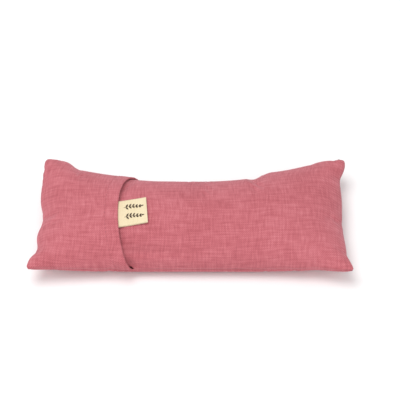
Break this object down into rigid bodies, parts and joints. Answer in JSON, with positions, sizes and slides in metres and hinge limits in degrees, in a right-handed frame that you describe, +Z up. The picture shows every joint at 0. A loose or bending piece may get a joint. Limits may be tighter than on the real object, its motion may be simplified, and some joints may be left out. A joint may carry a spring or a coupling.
{
  "type": "eye pillow",
  "caption": "Seed-filled eye pillow in a removable linen envelope cover, with a pocket flap and a small folded tape label, lying flat.",
  "frame": {"origin": "on the surface the pillow lies on, below the middle of its bounding box", "axes": "+Z up; +X along the pillow from the pocket flap's end to the other; -Y is the fuller, straighter long side"},
  "size_m": [0.23, 0.104, 0.0342],
  "materials": {
    "linen": "washed plain-weave linen, dusty rose",
    "linen_thread": "matt polyester sewing thread, dusty rose",
    "label_tape": "matt cotton tape, cream",
    "cotton": "unbleached cotton calico",
    "cotton_thread": "white sewing thread",
    "flax_seed": "smooth loose brown seeds",
    "lavender": "dried flower buds"
  },
  "bodies": {
    "cover": {"back_panel": "linen", "front_panel": "linen", "perimeter_seam_thread": "linen_thread", "front_hem_thread": "linen_thread"},
    "flap": {"flap_panel": "linen", "flap_hem_thread": "linen_thread", "label_thread": "linen_thread"},
    "label": {"label": "label_tape"},
    "insert": {"insert_bag_top": "cotton", "insert_bag_bottom": "cotton", "insert_seam_thread": "cotton_thread", "insert_closing_thread": "cotton_thread", "flax_seed_fill": "flax_seed", "lavender_buds": "lavender"}
  },
  "joints": [
    {"name": "flap_lift", "type": "hinge", "parent": "cover", "child": "flap", "pos_m": [-0.115, 0, 0.019], "axis": [0, -1, 0], "range_deg": [0, 15]},
    {"name": "label_lift", "type": "hinge", "parent": "flap", "child": "label", "pos_m": [-0.0521, -0.0125, 0.0337], "axis": [0.0872, -0.9962, 0], "range_deg": [0, 120]},
    {"name": "insert_shift", "type": "slide", "parent": "cover", "child": "insert", "axis": [1, 0, 0], "range_m": [-0.003, 0.003]}
  ]
}
